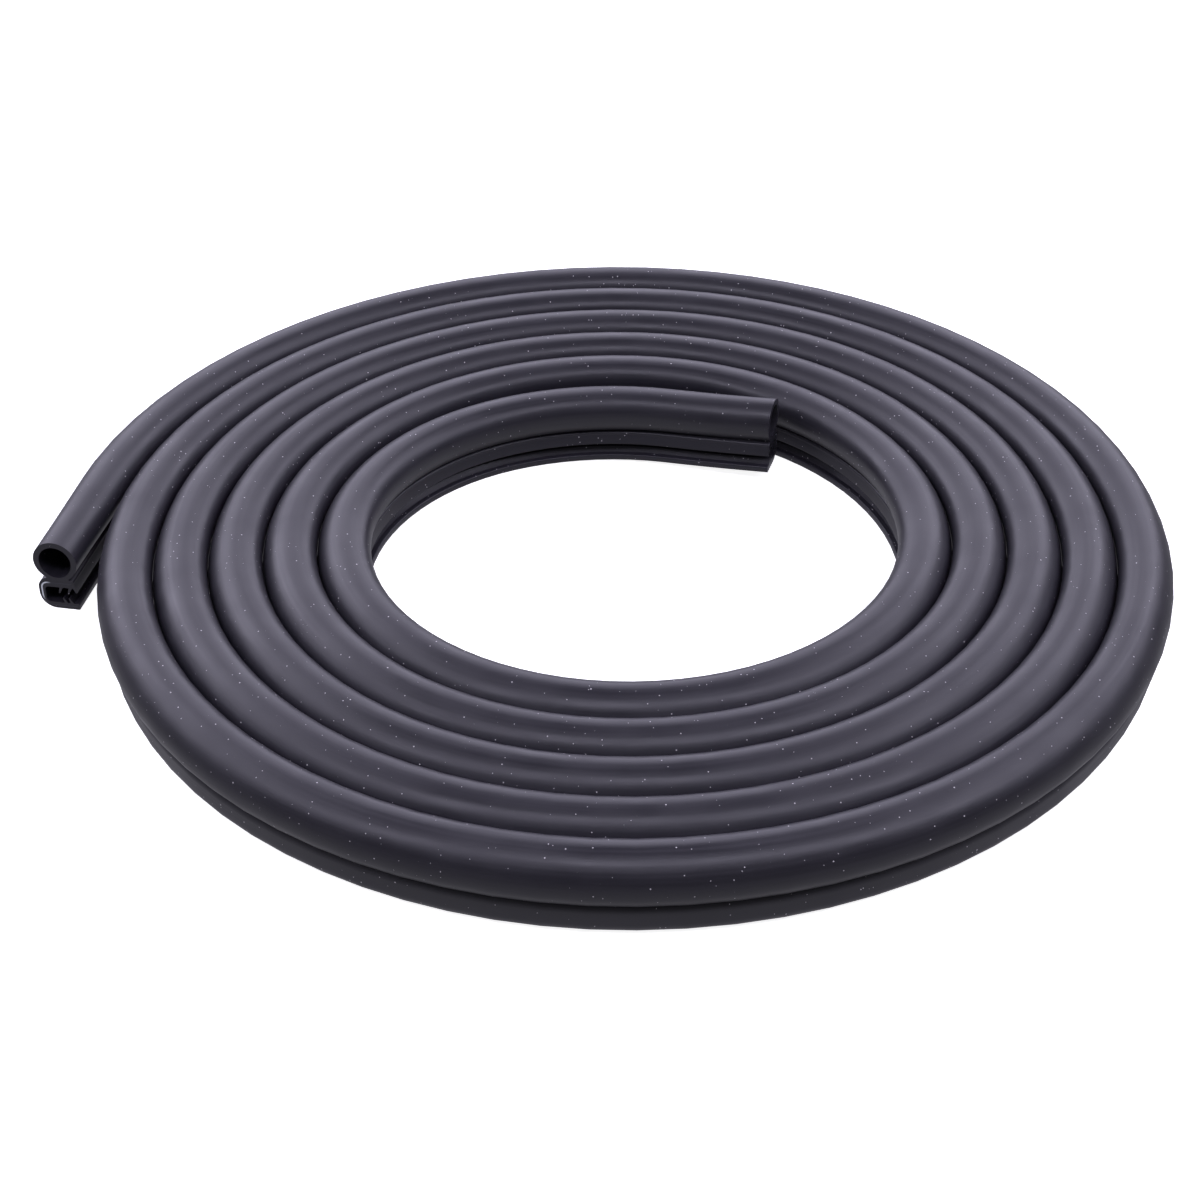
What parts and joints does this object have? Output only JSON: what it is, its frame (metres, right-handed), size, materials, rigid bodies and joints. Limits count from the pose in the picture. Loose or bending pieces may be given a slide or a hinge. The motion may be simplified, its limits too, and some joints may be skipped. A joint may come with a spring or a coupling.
{
  "type": "truck door weatherstrip",
  "caption": "Coiled rubber door seal: a hollow sealing bulb on a steel-cored channel that grips a body flange, cut to length and wound flat.",
  "frame": {"origin": "middle of the coil's outline on the plane that it lies on, the underside of the channel", "axes": "+Z is the coil's axis, up from the channel to the bulb; +X runs along the longest extent, away from the outer cut end; +Y points to the side where the inner cut end lies"},
  "size_m": [0.4206, 0.4062, 0.0342],
  "materials": {
    "black_rubber": "matt extruded charcoal rubber with a soft sheen, fine lengthwise streaks and pale dust",
    "bare_steel": "bright cut edge of thin bent strip"
  },
  "bodies": {
    "root": {"rubber_strip": "black_rubber", "steel_carrier": "bare_steel"}
  },
  "joints": []
}
